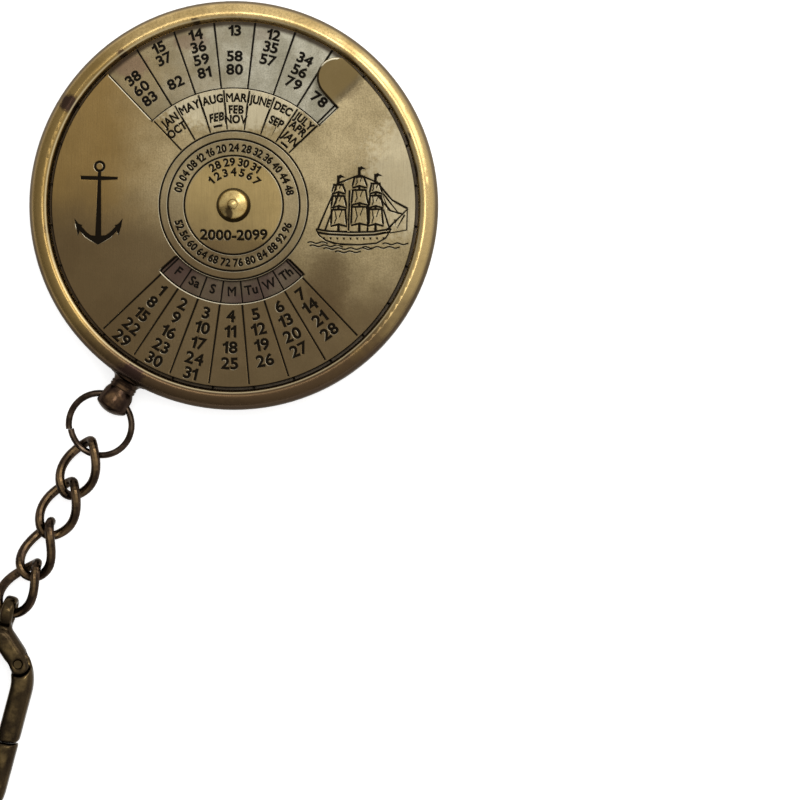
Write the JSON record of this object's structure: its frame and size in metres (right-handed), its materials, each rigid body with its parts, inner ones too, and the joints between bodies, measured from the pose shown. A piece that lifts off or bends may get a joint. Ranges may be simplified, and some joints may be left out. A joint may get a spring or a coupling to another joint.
{
  "type": "perpetual calendar keyring",
  "caption": "Round brass perpetual calendar with a turning month plate over a fixed year dial, hung from a ring, curb links and a push-gate clasp.",
  "frame": {"origin": "centre of the case's back face", "axes": "+Z out of the back face through the case towards the dial, +Y towards the middle of the year window, +X to the right as the dial is read"},
  "size_m": [0.0654, 0.1035, 0.0072],
  "materials": {
    "case": "antiqued, softly polished",
    "year_dial": "etched, matt",
    "friction_washer": "plain",
    "month_plate": "etched and darkened, satin",
    "centre_rivet": "turned and polished",
    "pendant": "dark bronze patina",
    "jump_ring": "dark bronze patina",
    "link": "dark bronze patina",
    "clasp": "cast, dark bronze patina, polished",
    "clasp_pin": "dark bronze patina",
    "clasp_spring": "drawn wire"
  },
  "bodies": {
    "case": {"case": "case", "year_dial": "year_dial", "friction_washer": "friction_washer", "centre_rivet": "centre_rivet", "pendant": "pendant"},
    "plate": {"month_plate": "month_plate"},
    "ring": {"jump_ring": "jump_ring"},
    "link_1": {"link_1": "link"},
    "link_2": {"link_2": "link"},
    "link_3": {"link_3": "link"},
    "link_4": {"link_4": "link"},
    "clasp": {"clasp_body": "clasp", "clasp_pin": "clasp_pin", "clasp_spring": "clasp_spring"},
    "gate": {"clasp_gate": "clasp"}
  },
  "joints": [
    {"name": "plate_turn", "type": "hinge", "parent": "case", "child": "plate", "pos_m": [0, 0, 0.00455], "axis": [0, 0, 1], "continuous": true},
    {"name": "ring_swing", "type": "hinge", "parent": "case", "child": "ring", "pos_m": [-0.015, -0.02429, 0.003], "axis": [-0.8508, 0.5255, 0], "range_deg": [-90, 90]},
    {"name": "link_1_swing", "type": "hinge", "parent": "ring", "child": "link_1", "pos_m": [-0.01869, -0.03098, 0.00186], "axis": [-0.8967, 0.4424, -0.0142], "range_deg": [-45, 35]},
    {"name": "link_2_swing", "type": "hinge", "parent": "link_1", "child": "link_2", "pos_m": [-0.02108, -0.03638, 0.00185], "axis": [0.7255, -0.302, -0.6184], "range_deg": [-70, 50]},
    {"name": "link_3_swing", "type": "hinge", "parent": "link_2", "child": "link_3", "pos_m": [-0.02376, -0.04139, 0.00185], "axis": [0.7072, -0.3403, -0.6198], "range_deg": [-12, 80]},
    {"name": "link_4_swing", "type": "hinge", "parent": "link_3", "child": "link_4", "pos_m": [-0.02603, -0.04658, 0.00232], "axis": [0.8977, -0.3627, -0.2503], "range_deg": [-35, 35]},
    {"name": "clasp_swing", "type": "hinge", "parent": "link_4", "child": "clasp", "pos_m": [-0.02859, -0.05108, 0.00207], "axis": [-0.9659, 0.2588, 0], "range_deg": [-90, 90]},
    {"name": "gate_swing", "type": "hinge", "parent": "clasp", "child": "gate", "pos_m": [-0.02724, -0.05756, 0.00195], "axis": [-0.0051, -0.0189, 0.9998], "range_deg": [-28, 0], "stiffness_Nm_per_rad": 0.003, "springref_deg": 20.05, "deforming": ["clasp_spring"]}
  ]
}
